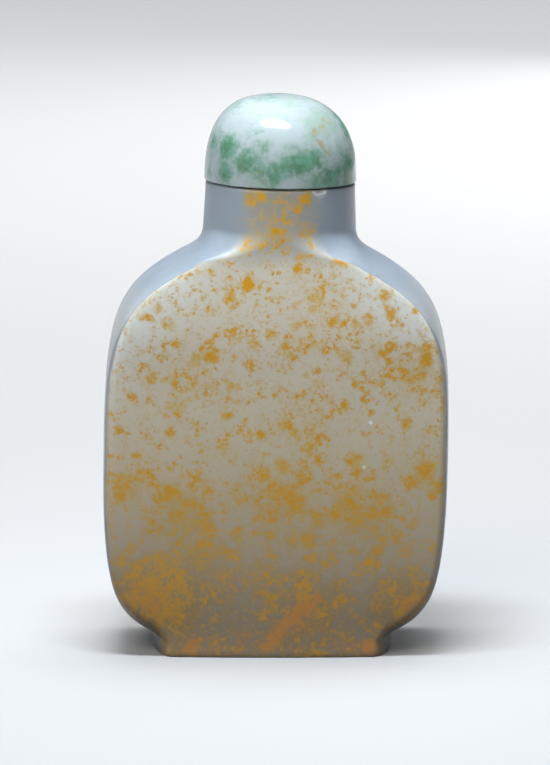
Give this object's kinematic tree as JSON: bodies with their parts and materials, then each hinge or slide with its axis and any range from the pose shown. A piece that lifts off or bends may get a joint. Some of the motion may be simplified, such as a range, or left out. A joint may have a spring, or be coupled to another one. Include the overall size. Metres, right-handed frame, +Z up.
{
  "type": "snuff bottle",
  "caption": "Flattened hollow snuff bottle in speckled pale jade with a round neck, small foot and domed mottled green stone stopper.",
  "frame": {"origin": "on the surface it stands on, under the middle of the bottle's widest part", "axes": "+Z up along the bottle's height, +X along its width to the right of the front face, front face towards -Y"},
  "size_m": [0.0425, 0.0208, 0.0684],
  "materials": {
    "jade": "waxy polish, faintly translucent, yellow-brown speckled skin on the faces",
    "jadeite": "high glassy polish, white with emerald mottling",
    "cork": "matt, finely pitted"
  },
  "bodies": {
    "root": {"bottle": "jade", "stopper_cap": "jadeite", "stopper_cork": "cork"}
  },
  "joints": []
}
